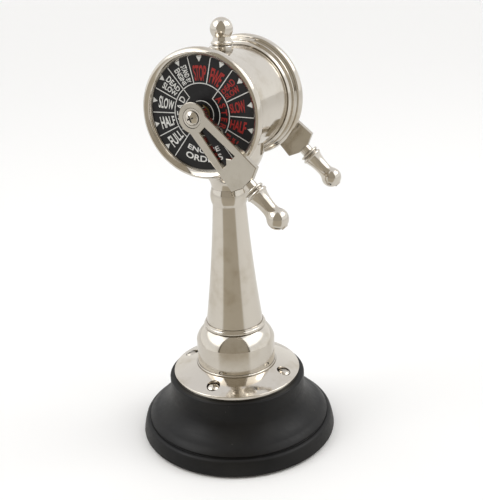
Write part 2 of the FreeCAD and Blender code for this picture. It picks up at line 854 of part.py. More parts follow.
def make_finial():
    """The ball finial on a ringed foot; its stud goes through the drum and carries the gong."""
    ball_neck = "dim.ball_centre - sqrt(dim.ball_radius ^ 2 - dim.finial_neck ^ 2)"
    seat = "dim.head_height + dim.drum_radius + 0.7"
    finial = turned(
        "finial",
        [
            (ZERO, "264.4"),
            ("dim.stud_radius", "264.4"),
            ("dim.stud_radius", seat),
            ("dim.finial_flange", seat),
            ("dim.finial_flange", seat + " + 1.2", "0.9", -1),
            ("dim.finial_flange - 0.9", seat + " + 2.2"),
            ("dim.finial_flange - 0.9", seat + " + 2.6"),
            ("dim.finial_flange - 0.3", seat + " + 2.8", "1.1", -1),
            ("dim.finial_flange - 0.6", seat + " + 4.8"),
            ("dim.finial_neck + 0.5", seat + " + 5.2"),
            ("dim.finial_neck", ball_neck, "dim.ball_radius", -1),
            (ZERO, "dim.ball_centre + dim.ball_radius"),
        ],
    )
    kept("finial", finial)
    shoe = ring(
        "finial_saddle",
        "dim.stud_radius",
        "dim.finial_flange - 0.3",
        "dim.head_height + 30",
        seat,
    )
    saddle(shoe, "finial_saddle_cut")
    kept("finial_saddle", shoe)


def make_gong():
    """The gong on the finial's stud, with its spacer above and its nut below."""
    under_roof = "dim.head_height + dim.drum_radius - dim.drum_wall - 0.2"
    spacer = ring("gong_spacer", "dim.stud_radius", "3.4", "dim.gong_top", under_roof)
    kept("gong_spacer", spacer)
    inner = "dim.gong_radius - dim.gong_wall"
    gong = turned(
        "gong",
        [
            ("dim.stud_radius", "dim.gong_top - dim.gong_wall"),
            ("dim.gong_radius - 6", "dim.gong_top - dim.gong_wall", "4.6", 1),
            (inner, "dim.gong_top - 6"),
            (inner, "dim.gong_mouth"),
            ("dim.gong_radius + 0.3", "dim.gong_mouth"),
            ("dim.gong_radius", "dim.gong_mouth + 1.2"),
            ("dim.gong_radius", "dim.gong_top - 6", "6", -1),
            ("dim.gong_radius - 6", "dim.gong_top"),
            ("dim.stud_radius", "dim.gong_top"),
        ],
    )
    kept("gong", gong)
    low = "dim.gong_top - dim.gong_wall - 3.2"
    kept("gong_nut", hexagon_nut("gong_nut", "7", "dim.stud_radius", low, "3.2"))


# ---------------------------------------------------------------- striking work and stop


def make_star_wheel():
    """The star wheel on the shaft: one tooth for each order's width of turn, and a hub with a set screw."""
    star = ring(
        "trip_wheel",
        "dim.shaft_radius",
        "dim.star_root",
        "-dim.star_half",
        "dim.star_half",
    )
    tooth = new_sketch(star, "star_tooth", "XY_Plane", "-dim.star_half")
    root = "dim.star_root - 0.6"
    draw(tooth, [(root, "-1.7"), ("dim.star_tip", "-0.3"), ("dim.star_tip", "0.3"), (root, "1.7")])
    tooth_pad = star.newObject("PartDesign::Pad", "star_tooth_pad")
    tooth_pad.Profile = tooth
    tooth_pad.setExpression("Length", "2 * dim.star_half")
    repeated(star, "star_teeth", tooth_pad, "dim.star_teeth")
    hub = new_sketch(star, "star_hub", "XY_Plane", "-dim.star_half - 6")
    draw_circle(hub, "dim.star_hub")
    draw_circle(hub, "dim.shaft_radius")
    hub_pad = star.newObject("PartDesign::Pad", "star_hub_pad")
    hub_pad.Profile = hub
    hub_pad.Length = 6
    grub = new_sketch(star, "set_screw_hole", "XZ_Plane")
    draw_circle(grub, "1.5", up="-dim.star_half - 3")
    pocket(star, "set_screw_hole_cut", grub, "10")
    star.Placement = head_frame(FRONT)
    kept("trip_wheel", star)
    screw = turned("trip_wheel_set_screw", rectangle(ZERO, "1.5", "dim.shaft_radius", "5.8"))
    inward = FreeCAD.Placement(
        FreeCAD.Vector(0, 0, number("-dim.star_half - 3")), FreeCAD.Rotation(ACROSS, -90)
    )
    screw.Placement = head_frame(FRONT).multiply(inward)
    kept("trip_wheel_set_screw", screw)


def make_stop():
    """The collar whose finger meets a pin at each end of the levers' travel."""
    root = "5.6"
    reach = "(dim.stop_circle + 1.5)"
    across, along = "cos(22 deg)", "sin(22 deg)"
    finger = slab(
        "stop_collar",
        [
            (f"{root} * {across}", f"-{root} * {along}"),
            (f"{reach} * {across}", f"-{reach} * {along}", reach, -1),
            (f"{reach} * {across}", f"{reach} * {along}"),
            (f"{root} * {across}", f"{root} * {along}"),
        ],
        "-16",
        "4",
    )
    hub = new_sketch(finger, "stop_hub", "XY_Plane", "-16")
    draw_circle(hub, "6.2")
    hub_pad = finger.newObject("PartDesign::Pad", "stop_hub_pad")
    hub_pad.Profile = hub
    hub_pad.Length = 4
    bore = new_sketch(finger, "stop_bore", "XY_Plane", "-16")
    draw_circle(bore, "dim.shaft_radius")
    pocket(finger, "stop_bore_cut", bore)
    finger.Placement = head_frame(FRONT, number("dim.lever_angle"))
    kept("stop_collar", finger)
    pin = turned(
        "stop_pin", rectangle(ZERO, "dim.stop_pin_radius", "11.5", "dim.plate_inner_face")
    )
    below = FreeCAD.Placement(FreeCAD.Vector(0, -number("dim.stop_circle"), 0), FreeCAD.Rotation())
    pin.Placement = head_frame(REAR).multiply(below)
    kept("stop_pin", pin)


def hammer_frame():
    """The frame of the hammer's pivot: X across, Y up, Z towards the reader."""
    pivot = FreeCAD.Vector(number("dim.hammer_pivot_x"), number("dim.hammer_pivot_rise"), 0)
    return head_frame(FRONT).multiply(FreeCAD.Placement(pivot, FreeCAD.Rotation()))


def make_hammer():
    """The hammer: an arm on a pin, its head beside the gong's mouth and its tail near the star."""
    head_across = "-dim.gong_radius - dim.hammer_head - dim.hammer_gap - dim.hammer_pivot_x"
    head_up = "dim.gong_mouth + 3 - dim.head_height - dim.hammer_pivot_rise"
    tail = "dim.hammer_tail"
    arm = slab(
        "hammer_arm",
        [
            ("-1.8", "1.5"),
            ("-2.6", "-1.2", "2.9", 1),
            ("0.2", "-2.8"),
            (f"{tail} * cos(20 deg) - 0.6", f"-{tail} * sin(20 deg) - 0.9"),
            (f"{tail} * cos(20 deg)", f"-{tail} * sin(20 deg)"),
            ("2.6", "1.4"),
            (head_across + " + 1.2", head_up + " - 1"),
            (head_across + " - 1.2", head_up + " - 1"),
        ],
        "-1.5",
        "3",
    )
    bore = new_sketch(arm, "hammer_bore", "XY_Plane")
    draw_circle(bore, "dim.hammer_pin + dim.running_gap")
    pocket(arm, "hammer_bore_cut", bore)
    arm.Placement = hammer_frame()
    ball = doc.addObject("Part::Sphere", "hammer_ball")
    ball.setExpression("Radius", "dim.hammer_head")
    spot = FreeCAD.Vector(number(head_across), number(head_up), 0)
    ball.Placement = hammer_frame().multiply(FreeCAD.Placement(spot, FreeCAD.Rotation()))
    trimmed = doc.addObject("Part::Cut", "hammer_arm_trimmed")
    trimmed.Base = arm
    trimmed.Tool = ball
    kept("hammer_arm", trimmed)
    head = doc.addObject("Part::Sphere", "hammer_head")
    head.setExpression("Radius", "dim.hammer_head")
    head.Placement = ball.Placement
    kept("hammer_head", head)


def make_hammer_mounting():
    """The bracket on the drum's wall, the pivot pin in its two ears, and the leaf spring on the arm."""
    block = slab(
        "hammer_bracket_block",
        rectangle("-13.5", "-7.5", "-6", "3.5"),
        "-5",
        "10",
    )
    ears = new_sketch(block, "hammer_ears", "XY_Plane", "-5")
    draw(ears, rectangle("-7.5", "2.8", "-2.6", "2.6"))
    ears_pad = block.newObject("PartDesign::Pad", "hammer_ears_pad")
    ears_pad.Profile = ears
    ears_pad.Length = 10
    gap = new_sketch(block, "hammer_gap", "XY_Plane", "2.2")
    draw(gap, rectangle("-7", "4", "-8", "8"))
    pocket(block, "hammer_gap_cut", gap, "4.4")
    bore = new_sketch(block, "hammer_pin_hole", "XY_Plane")
    draw_circle(bore, "dim.hammer_pin")
    pocket(block, "hammer_pin_hole_cut", bore)
    block.Placement = hammer_frame()
    room = doc.addObject("Part::Cylinder", "drum_room")
    room.setExpression("Radius", "dim.drum_radius - dim.drum_wall")
    room.Height = 40
    room.Placement = head_frame(FRONT).multiply(
        FreeCAD.Placement(FreeCAD.Vector(0, 0, -20), FreeCAD.Rotation())
    )
    bracket = doc.addObject("Part::Common", "hammer_bracket")
    bracket.Base = block
    bracket.Tool = room
    kept("hammer_bracket", bracket)
    pin = turned("hammer_pivot_pin", rectangle(ZERO, "dim.hammer_pin", "-5.6", "5.6"))
    pin.Placement = hammer_frame()
    kept("hammer_pivot_pin", pin)
    spring = slab(
        "hammer_spring",
        [
            ("-8.6", "3.5"),
            ("-8.1", "3.5"),
            ("-2.9", "8.2"),
            ("-1.6", "8.4"),
            ("-1.6", "8.8"),
            ("-3.1", "8.6"),
        ],
        "-1.5",
        "3",
    )
    spring.Placement = hammer_frame()
    kept("hammer_spring", spring)


# ---------------------------------------------------------------- the whole model


def check(piece):
    """Stops the script if an object of the document is in error or a sub-part has a bad shape."""
    if piece.Shape.isNull() or not piece.Shape.isValid():
        raise RuntimeError(f"{piece.Label} has no valid shape")


def main():
    """Makes every sub-part, checks it and writes its STEP file."""
    make_felt_pad()
    make_wooden_base()
    make_base_plate()
    make_plate_screws()
    make_pedestal()
    make_head_neck()
    make_neck_screws()
    make_tie_rod()
    make_drum()
    for side in (FRONT, REAR):
        make_bezel(side)
        make_head_end(side)
        make_spacer(side)
        make_lever(side)
        make_grip(side)
        make_lever_fastening(side)
    make_shaft()
    make_friction_washer()
    make_finial()
    make_gong()
    make_star_wheel()
    make_stop()
    make_hammer()
    make_hammer_mounting()
    doc.recompute()
    faulty = [item.Name for item in doc.Objects if {"Invalid", "Error"} & set(item.State)]
    if faulty:
        raise RuntimeError(f"objects in error: {faulty}")
    os.makedirs("parts", exist_ok=True)
    for label, piece in nodes.items():
        check(piece)
        piece.Shape.exportStep(f"parts/{label}.step")
        solids = len(piece.Shape.Solids)
        print(f"{label}: {solids} solid(s), {piece.Shape.Volume:.0f} mm3")


main()
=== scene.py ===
"""Ship's engine order telegraph: finishes, turned pieces, printed dials and a plain studio.

Everything is in metres in the model's own frame. The base stands on z = 0, the column rises
along +Z, and the drum lies along Y with its front dial facing -Y.
"""

import logging
import math
from collections.abc import Iterable
from dataclasses import dataclass, field
from enum import Enum
from typing import Any

import bmesh
import bpy
from mathutils import Matrix, Vector


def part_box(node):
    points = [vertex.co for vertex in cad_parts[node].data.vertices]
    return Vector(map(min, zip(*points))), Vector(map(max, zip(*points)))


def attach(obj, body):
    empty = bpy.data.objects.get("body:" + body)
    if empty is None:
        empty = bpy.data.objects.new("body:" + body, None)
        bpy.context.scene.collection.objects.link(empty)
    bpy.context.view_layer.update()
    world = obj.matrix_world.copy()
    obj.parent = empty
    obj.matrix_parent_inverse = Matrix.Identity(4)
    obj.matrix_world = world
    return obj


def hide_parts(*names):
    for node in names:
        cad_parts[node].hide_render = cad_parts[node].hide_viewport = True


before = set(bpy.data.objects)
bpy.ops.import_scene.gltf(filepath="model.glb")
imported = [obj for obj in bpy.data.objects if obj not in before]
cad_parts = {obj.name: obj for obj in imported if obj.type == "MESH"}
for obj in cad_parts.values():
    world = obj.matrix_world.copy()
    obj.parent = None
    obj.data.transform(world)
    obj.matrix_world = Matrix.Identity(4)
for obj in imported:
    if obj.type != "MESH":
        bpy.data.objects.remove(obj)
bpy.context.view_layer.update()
MM = 0.001
AROUND_STEPS = 192
VIEW_AZIMUTH = math.radians(26.45)
DIM_AZIMUTH = VIEW_AZIMUTH - math.radians(6.0)
DIM_EDGE = math.cos(math.radians(41.0))
LOG = logging.getLogger("telegraph")


# ---------------------------------------------------------------- shader nodes


class Wire:
    """The output of a node, which can be added, multiplied and compared like a number."""

    def __init__(self, board: "Board", socket: bpy.types.NodeSocket) -> None:
        """Remember which board the output belongs to.

        Args:
            board: The node tree that the output is on.
            socket: The output itself.
        """
        self.board = board
        self.socket = socket

    def _maths(self, operation: str, *values: Any) -> "Wire":
        """Join values with one Math node and return its output."""
        sockets = dict(enumerate(values))
        node = self.board.add("ShaderNodeMath", {"operation": operation}, sockets)
        return self.board.wire(node, "Value")

    def __add__(self, other: Any) -> "Wire":
        """Add a number or another output."""
        return self._maths("ADD", self, other)

    def __radd__(self, other: Any) -> "Wire":
        """Add to a number on the left."""
        return self._maths("ADD", other, self)

    def __sub__(self, other: Any) -> "Wire":
        """Take a number or another output away."""
        return self._maths("SUBTRACT", self, other)

    def __rsub__(self, other: Any) -> "Wire":
        """Take this output away from a number."""
        return self._maths("SUBTRACT", other, self)

    def __mul__(self, other: Any) -> "Wire":
        """Multiply by a number or another output."""
        return self._maths("MULTIPLY", self, other)

    def __rmul__(self, other: Any) -> "Wire":
        """Multiply a number on the left."""
        return self._maths("MULTIPLY", other, self)

    def __gt__(self, other: Any) -> "Wire":
        """Give one where this output is the greater, and nought elsewhere."""
        return self._maths("GREATER_THAN", self, other)

    def within(self, low: float, high: float) -> "Wire":
        """Rise smoothly from nought at low to one at high."""
        settings = {"interpolation_type": "SMOOTHSTEP"}
        sockets = {"Value": self, "From Min": low, "From Max": high}
        return self.board.wire(self.board.add("ShaderNodeMapRange", settings, sockets), "Result")


class Board:
    """A node tree with one method that makes nodes."""

    def __init__(self, tree: bpy.types.NodeTree) -> None:
        """Start from an empty tree.

        Args:
            tree: The node tree of a material or a world.
        """
        self.tree = tree
        tree.nodes.clear()

    def add(
        self,
        kind: str,
        settings: dict[str, Any] | None = None,
        sockets: dict[str | int, Any] | None = None,
    ) -> bpy.types.Node:
        """Make a node, set it up and join its inputs.

        Args:
            kind: Blender's name for the type of node.
            settings: The node's own properties, such as a Math node's operation.
            sockets: A number, a colour or an output for each input that isn't left as it is.

        Returns:
            The new node.
        """
        node = self.tree.nodes.new(kind)
        for name, value in (settings or {}).items():
            setattr(node, name, value)
        for name, value in (sockets or {}).items():
            if isinstance(value, Wire):
                self.tree.links.new(value.socket, node.inputs[name])
            else:
                node.inputs[name].default_value = value
        return node

    def wire(self, node: bpy.types.Node, output: str) -> Wire:
        """Pick one output of a node."""
        return Wire(self, node.outputs[output])

    def place(self) -> Wire:
        """Where a point is on its piece, in metres."""
        return self.wire(self.add("ShaderNodeTexCoord"), "Object")

    def stretched(self, scale: tuple[float, float, float]) -> Wire:
        """The place of a point with each axis drawn out or pressed together."""
        sockets = {"Vector": self.place(), "Scale": scale}
        return self.wire(self.add("ShaderNodeMapping", None, sockets), "Vector")

    def noise(self, where: Wire, scale: float, detail: float = 3.0, rough: float = 0.5) -> Wire:
        """Smooth random values from nought to one.

        Args:
            where: The point that is coloured.
            scale: How many patches there are in a metre.
            detail: How many finer layers are laid over the patches.
            rough: How strongly the finer layers show.

        Returns:
            The values.
        """
        sockets = {"Vector": where, "Scale": scale, "Detail": detail, "Roughness": rough}
        return self.wire(self.add("ShaderNodeTexNoise", None, sockets), "Fac")

    def specks(self, where: Wire, scale: float, size: float) -> Wire:
        """Small round specks, one on a cell and nought between them."""
        sockets = {"Vector": where, "Scale": scale}
        cells = self.wire(self.add("ShaderNodeTexVoronoi", None, sockets), "Distance")
        return 1.0 - cells.within(0.6 * size, size)

    def mixed(self, share: Any, first: Any, second: Any) -> Wire:
        """Blend two colours.

        Args:
            share: How much of the second colour there is, from nought to one.
            first: The colour at nought.
            second: The colour at one.

        Returns:
            The blended colour.
        """
        node = self.add("ShaderNodeMix", {"data_type": "RGBA"})
        colours = [socket for socket in node.inputs if socket.type == "RGBA"]
        for socket, value in zip((node.inputs["Factor"], *colours), (share, first, second)):
            if isinstance(value, Wire):
                self.tree.links.new(value.socket, socket)
            else:
                socket.default_value = value
        result = next(socket for socket in node.outputs if socket.type == "RGBA")
        return Wire(self, result)

    def facing(self, way: Wire, azimuth: float) -> Wire:
        """How squarely a direction points to an azimuth, whatever its height.

        Args:
            way: The direction, or a place on the floor seen from the object.
            azimuth: The azimuth in radians.

        Returns:
            The cosine of the level angle between the two.
        """
        level = self.add("ShaderNodeVectorMath", {"operation": "MULTIPLY"}, {0: way, 1: (1, 1, 0)})
        level = self.wire(level, "Vector")
        unit = self.add("ShaderNodeVectorMath", {"operation": "NORMALIZE"}, {0: level})
        aim = (math.sin(azimuth), -math.cos(azimuth), 0.0)
        sockets = {0: self.wire(unit, "Vector"), 1: aim}
        dot = self.add("ShaderNodeVectorMath", {"operation": "DOT_PRODUCT"}, sockets)
        return self.wire(dot, "Value")

    def crevices(self, reach: float) -> Wire:
        """One in corners and grooves no wider than reach, and nought on open surfaces: an
        ambient-occlusion mask that the finishes use to paint shade into corners.
        """
        node = self.add("ShaderNodeAmbientOcclusion", {"samples": 6}, {"Distance": reach})
        return 1.0 - self.wire(node, "AO")

    def bumps(self, height: Wire, depth: float) -> Wire:
        """Turn heights from nought to one into a surface that deep, in metres."""
        node = self.add("ShaderNodeBump", None, {"Height": height, "Distance": depth})
        return self.wire(node, "Normal")


def shade(red: float, green: float, blue: float) -> tuple[float, float, float, float]:
    """A solid colour from its three linear parts."""
    return (red, green, blue, 1.0)


# -------------------------------------------------------------------- finishes


class Finish:
    """One surface finish. A subclass says what its shader reads."""

    name: str

    def sockets(self, board: Board) -> dict[str, Any]:
        """The values and outputs that the shader's sockets take."""
        raise NotImplementedError

    def material(self) -> bpy.types.Material:
        """The material for this finish, made the first time that it is asked for."""
        found = bpy.data.materials.get(self.name)
        if found is not None:
            return found
        made = bpy.data.materials.new(self.name)
        made.use_nodes = True
        board = Board(made.node_tree)
        shader = board.add("ShaderNodeBsdfPrincipled", None, self.sockets(board))
        out = board.add("ShaderNodeOutputMaterial")
        board.tree.links.new(shader.outputs["BSDF"], out.inputs["Surface"])
        return made


@dataclass(frozen=True)
class NickelPlate(Finish):
    """Bright nickel over brass: buffed by hand, a little uneven, with polish grime and painted shade
    darkening the corners.
    """

    name: str = "nickel_buffed"
    metal: tuple = shade(0.70, 0.655, 0.585)
    tarnish: tuple = shade(0.55, 0.49, 0.40)
    # Dark polish grime and painted shade together: ambient occlusion lays this colour into corners and
    # gaps.
    grime_and_shade: tuple = shade(0.055, 0.040, 0.024)
    grime_and_shade_reach: float = 1.3 * MM
    smoothest: float = 0.07
    dullest: float = 0.17
    ripple: float = 0.020 * MM
    ripple_length: float = 16 * MM
    lines: tuple[float, float, float] = (900.0, 900.0, 900.0)
    line_depth: float = 0.0006 * MM

    def sockets(self, board: Board) -> dict[str, Any]:
        """Colour from tarnish and from grime with painted shade in the corners, gloss from smudges, shape
        from buffing.
        """
        where = board.place()
        clouds = board.noise(where, 45.0, 4.0, 0.6)
        smudges = board.noise(where, 160.0, 5.0, 0.65)
        ripples = board.noise(where, 1.0 / self.ripple_length, 1.0, 0.4)
        strokes = board.noise(board.stretched(self.lines), 1.0, 3.0, 0.6)
        colour = board.mixed(clouds.within(0.45, 0.8), self.metal, self.tarnish)
        # Painted shade with grime: ambient occlusion darkens corners, grooves and the gaps between parts.
        colour = board.mixed(board.crevices(self.grime_and_shade_reach).within(0.15, 0.6), colour, self.grime_and_shade)
        gloss = self.smoothest + smudges.within(0.35, 0.75) * (self.dullest - self.smoothest)
        height = ripples + strokes * (self.line_depth / self.ripple)
        return {
            "Base Color": colour,
            "Metallic": 1.0,
            "Roughness": gloss,
            "Normal": board.bumps(height, self.ripple),
        }


@dataclass(frozen=True)
class BlackPaintedWood(Finish):
    """Turned hardwood under satin black paint, its grain just showing through."""

    name: str = "satin_black_wood"
    paint: tuple = shade(0.0052, 0.0052, 0.0056)
    rubbed: tuple = shade(0.011, 0.0105, 0.010)
    dust: tuple = shade(0.30, 0.29, 0.27)

    def sockets(self, board: Board) -> dict[str, Any]:
        """Grain that runs along X, a few dust specks and an uneven gloss."""
        where = board.place()
        grain = board.noise(board.stretched((40.0, 420.0, 420.0)), 1.0, 5.0, 0.6)
        patches = board.noise(where, 38.0, 3.0, 0.5)
        specks = board.specks(where, 260.0, 0.05) * (board.noise(where, 70.0) > 0.56)
        colour = board.mixed(patches.within(0.35, 0.75), self.paint, self.rubbed)
        colour = board.mixed(specks * 0.5, colour, self.dust)
        return {
            "Base Color": colour,
            "Roughness": 0.36 + grain.within(0.3, 0.7) * 0.08 + patches * 0.05,
            "Specular IOR Level": 0.24,
            "Normal": board.bumps(grain + 0.6 * board.noise(where, 900.0), 0.012 * MM),
        }


@dataclass(frozen=True)
class PressedFelt(Finish):
    """Black wool felt pressed flat, with loose fibres on the surface."""

    name: str = "pressed_felt"
    wool: tuple = shade(0.016, 0.016, 0.018)
    fluff: tuple = shade(0.060, 0.060, 0.064)

    def sockets(self, board: Board) -> dict[str, Any]:
        """Matted fibres in two directions over a cloudy ground."""
        along = board.noise(board.stretched((500.0, 2600.0, 2600.0)), 1.0, 5.0, 0.7)
        across = board.noise(board.stretched((2600.0, 500.0, 2600.0)), 1.0, 5.0, 0.7)
        fibres = along * across
        return {
            "Base Color": board.mixed(fibres.within(0.18, 0.42), self.wool, self.fluff),
            "Roughness": 0.95,
            "Specular IOR Level": 0.2,
            "Sheen Weight": 0.4,
            "Normal": board.bumps(fibres, 0.25 * MM),
        }


@dataclass(frozen=True)
class DialEnamel(Finish):
    """Stoved black enamel of the dial plates."""

    name: str = "dial_enamel"
    black: tuple = shade(0.0075, 0.0072, 0.0085)
    bloom: tuple = shade(0.016, 0.0155, 0.018)

    def sockets(self, board: Board) -> dict[str, Any]:
        """Almost even black with a faint orange peel."""
        where = board.place()
        cloud = board.noise(where, 120.0, 4.0, 0.6)
        return {
            "Base Color": board.mixed(cloud.within(0.4, 0.8), self.black, self.bloom),
            "Roughness": 0.30 + cloud * 0.14,
            "Specular IOR Level": 0.35,
            "Normal": board.bumps(board.noise(where, 1300.0, 2.0), 0.004 * MM),
        }


@dataclass(frozen=True)
class PrintedInk(Finish):
    """Screen-printed ink of the dial markings, slightly uneven."""

    name: str
    ink: tuple
    thin: tuple

    def sockets(self, board: Board) -> dict[str, Any]:
        """Ink that lies thinner in small patches."""
        where = board.place()
        cover = board.noise(where, 900.0, 3.0, 0.6)
        return {
            "Base Color": board.mixed(cover.within(0.5, 0.8), self.ink, self.thin),
            "Roughness": 0.42 + cover * 0.12,
            "Specular IOR Level": 0.35,
            "Normal": board.bumps(cover, 0.006 * MM),
        }


@dataclass(frozen=True)
class WorkedMetal(Finish):
    """Bare metal of the inner works, left as the lathe or the file left it."""

    name: str
    metal: tuple
    oxide: tuple
    smoothest: float = 0.22
    dullest: float = 0.42
    lines: tuple[float, float, float] = (300.0, 3200.0, 300.0)

    def sockets(self, board: Board) -> dict[str, Any]:
        """Tool marks, a patchy oxide and painted shade darkening the corners."""
        where = board.place()
        marks = board.noise(board.stretched(self.lines), 1.0, 4.0, 0.6)
        patches = board.noise(where, 150.0, 5.0, 0.6)
        colour = board.mixed(patches.within(0.42, 0.75), self.metal, self.oxide)
        # Painted shade: ambient occlusion darkens the corners.
        corners = board.crevices(0.8 * MM).within(0.3, 1.0)
        colour = board.mixed(corners * 0.8, colour, shade(0.05, 0.04, 0.03))
        return {
            "Base Color": colour,
            "Metallic": 1.0,
            "Roughness": self.smoothest + marks * (self.dullest - self.smoothest),
            "Normal": board.bumps(marks, 0.006 * MM),
        }


@dataclass(frozen=True)
class StudioPaper(Finish):
    """Matt white paper that the object stands on, which bright metal mirrors a little darker."""

    name: str = "studio_paper"
    paper: tuple = shade(0.96, 0.96, 0.955)
    mirrored: tuple = shade(0.74, 0.735, 0.72)
    room: tuple = shade(0.42, 0.385, 0.32)
    near: float = 0.11

    def sockets(self, board: Board) -> dict[str, Any]:
        """Paper white with a faint tooth; in metal, the dim end of the room lies across it."""
        where = board.place()
        tooth = board.noise(where, 600.0, 3.0, 0.6)
        length = board.add("ShaderNodeVectorMath", {"operation": "LENGTH"}, {0: where})
        far = board.wire(length, "Value").within(self.near, 1.6 * self.near)
        dim = board.facing(where, DIM_AZIMUTH).within(DIM_EDGE - 0.07, DIM_EDGE + 0.05) * far
        mirrored = board.mixed(dim, self.mirrored, self.room)
        in_metal = board.wire(board.add("ShaderNodeLightPath"), "Is Glossy Ray")
        return {
            "Base Color": board.mixed(in_metal, self.paper, mirrored),
            "Roughness": 0.85,
            "Specular IOR Level": 0.2,
            "Normal": board.bumps(tooth, 0.02 * MM),
        }


NICKEL = NickelPlate()
TURNED_NICKEL = NickelPlate(
    name="nickel_turned",
    ripple=0.010 * MM,
    ripple_length=22 * MM,
    lines=(30.0, 2600.0, 30.0),
    line_depth=0.0010 * MM,
)
COLUMN_NICKEL = NickelPlate(
    name="nickel_column",
    ripple=0.016 * MM,
    ripple_length=26 * MM,
    lines=(40.0, 40.0, 1800.0),
    line_depth=0.0008 * MM,
)
FLAT_NICKEL = NickelPlate(
    name="nickel_flat",
    metal=shade(0.56, 0.52, 0.45),
    tarnish=shade(0.44, 0.40, 0.33),
    smoothest=0.12,
    dullest=0.22,
    ripple=0.012 * MM,
    ripple_length=14 * MM,
)
# Painted shadow: the near-black corner colour, reaching 2.6 mm, darkens a ring round each screw head as a
# shadow would.
SCREW_NICKEL = NickelPlate(
    name="nickel_screws",
    smoothest=0.14,
    dullest=0.26,
    grime_and_shade=shade(0.012, 0.009, 0.006),
    grime_and_shade_reach=2.6 * MM,
)
WOOD_PAINT = BlackPaintedWood()
FELT = PressedFelt()
ENAMEL = DialEnamel()
BRASS = WorkedMetal("yellow_brass", shade(0.72, 0.50, 0.20), shade(0.42, 0.27, 0.10))
BLACKENED = WorkedMetal("blackened_brass", shade(0.035, 0.030, 0.026), shade(0.018, 0.015, 0.012))
STEEL = WorkedMetal("bright_steel", shade(0.50, 0.49, 0.47), shade(0.30, 0.27, 0.24))
PAPER = StudioPaper()


class Ink(Enum):
    """The two inks of a dial, named for their colour."""

    WHITE = PrintedInk("dial_white_ink", shade(0.70, 0.70, 0.68), shade(0.52, 0.52, 0.50))
    RED = PrintedInk("dial_red_ink", shade(0.36, 0.022, 0.018), shade(0.24, 0.014, 0.012))


# --------------------------------------------------------------- mesh building


def dress(nodes: Iterable[str], finish: Finish) -> None:
    """Give CAD nodes a finish in place of the plain colour that they came with.

    Args:
        nodes: The names of the nodes.
        finish: What they are finished with.
    """
    for node in nodes:
        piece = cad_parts[node]
        for place in piece.material_slots:
            place.material = finish.material()
        LOG.info("%s: %s", node, finish.name)


def finished_piece(
    name: str,
    shape: bmesh.types.BMesh,
    finish: Finish,
    body: str,
    stands_for: Iterable[str] = (),
) -> bpy.types.Object:
    """Turn a bmesh into a piece that rides on a body.

    Args:
        name: The name of the piece.
        shape: Its mesh, already in place. It is freed.
        finish: What it is finished with.
        body: The CAD body that it moves with.
        stands_for: The CAD nodes that it is shown in place of.

    Returns:
        The new object.
    """
    mesh = bpy.data.meshes.new(name)
    for face in shape.faces:
        face.smooth = True
    shape.to_mesh(mesh)
    shape.free()
    piece = bpy.data.objects.new(name, mesh)
    bpy.context.scene.collection.objects.link(piece)
    mesh.materials.append(finish.material())
    weighted = piece.modifiers.new("even_shading", "WEIGHTED_NORMAL")
    weighted.keep_sharp = True
    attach(piece, body)
    if stands_for:
        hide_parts(*stands_for)
    LOG.info("%s: %d faces, %s, on %s", name, len(mesh.polygons), finish.name, body)
    return piece


@dataclass
class Section:
    """Half of a turned piece's section, as stations (out from the axis, up along it)."""

    out: float
    up: float
    stations: list[tuple[float, float]] = field(default_factory=list)
    corners: list[tuple[float, float, float]] = field(default_factory=list)

    def __post_init__(self) -> None:
        """Begin at the first station."""
        self.stations.append((self.out, self.up))

    def line(self, out: float, up: float, rounding: float = 0.0) -> "Section":
        """Go straight to a station.

        Args:
            out: Distance from the axis.
            up: Distance along the axis.
            rounding: The radius that the corner at this station is eased by.

        Returns:
            The section, so that calls can follow each other.
        """
        self.stations.append((out, up))
        if rounding:
            self.corners.append((out, up, rounding))
        return self

    def curve(self, out: float, up: float, bulge: float, steps: int = 12) -> "Section":
        """Go to a station on an arc.

        Args:
            out: Distance from the axis.
            up: Distance along the axis.
            bulge: The arc's rise over half its chord, to the left of the way when positive.
            steps: How many straight pieces the arc is drawn with.

        Returns:
            The section, so that calls can follow each other.
        """
        start, end = Vector(self.stations[-1]), Vector((out, up))
        chord = end - start
        side = Vector((-chord.y, chord.x))
        turn = 4.0 * math.atan(bulge)
        centre = (start + end) / 2 - side * (1.0 / math.tan(turn / 2)) / 2
        arm = start - centre
        for step in range(1, steps):
            swung = arm.copy()
            swung.rotate(Matrix.Rotation(-turn * step / steps, 2))
            self.stations.append(tuple(centre + swung))
        self.stations.append((out, up))
        return self

    def spun(self, steps: int = AROUND_STEPS) -> bmesh.types.BMesh:
        """Spin the section about the upright axis and ease its corners.

        Args:
            steps: How many facets go round the piece.

        Returns:
            The closed mesh, upright on the Z axis.
        """
        shape = bmesh.new()
        points = [shape.verts.new((out, 0.0, up)) for out, up in self.stations]
        for low, high in zip(points, points[1:]):
            shape.edges.new((low, high))
        shape.edges.new((points[-1], points[0])) if self.is_ring() else None
        bmesh.ops.spin(
            shape,
            geom=shape.verts[:] + shape.edges[:],
            cent=(0.0, 0.0, 0.0),
            axis=(0.0, 0.0, 1.0),
            angle=math.tau,
            steps=steps,
            use_merge=True,
        )
        bmesh.ops.remove_doubles(shape, verts=shape.verts, dist=1e-7)
        for out, up, rounding in self.corners:
            ease_ring(shape, out, up, rounding)
        bmesh.ops.recalc_face_normals(shape, faces=shape.faces)
        return shape

    def is_ring(self) -> bool:
        """Whether the section stays clear of the axis, so that it closes on itself."""
        return min(out for out, _ in self.stations) > 1e-9


